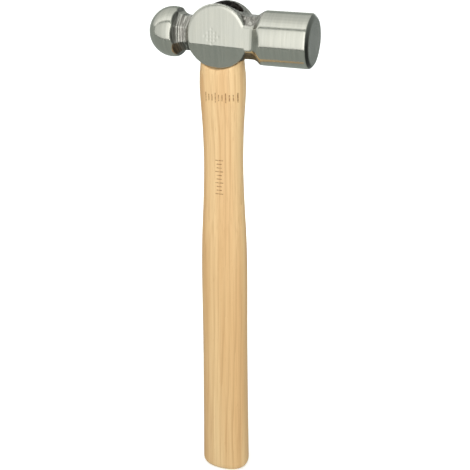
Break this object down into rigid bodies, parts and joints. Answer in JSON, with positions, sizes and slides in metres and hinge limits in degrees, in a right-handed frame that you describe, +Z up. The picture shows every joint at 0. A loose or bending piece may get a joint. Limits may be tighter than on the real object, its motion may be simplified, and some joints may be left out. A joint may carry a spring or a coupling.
{
  "type": "ball peen hammer",
  "caption": "Ball peen hammer: forged steel head with a round flat face, a ball and a round eye body, wedged on a shaped hickory handle.",
  "frame": {"origin": "middle of the handle's butt face", "axes": "+Z up the handle towards the head, +X towards the striking face, +Y across the cheeks"},
  "size_m": [0.1176, 0.036, 0.3716],
  "materials": {
    "forged_steel": "ground and polished forged steel with fine grinding lines; the necks stay as forged",
    "hickory": "pale hickory with straight grain and a thin satin lacquer",
    "wedge_wood": "bare hardwood end grain",
    "wedge_steel": "dark mill scale with a bright struck top"
  },
  "bodies": {
    "root": {"head": "forged_steel", "handle": "hickory", "wood_wedge": "wedge_wood", "steel_wedge": "wedge_steel"}
  },
  "joints": []
}
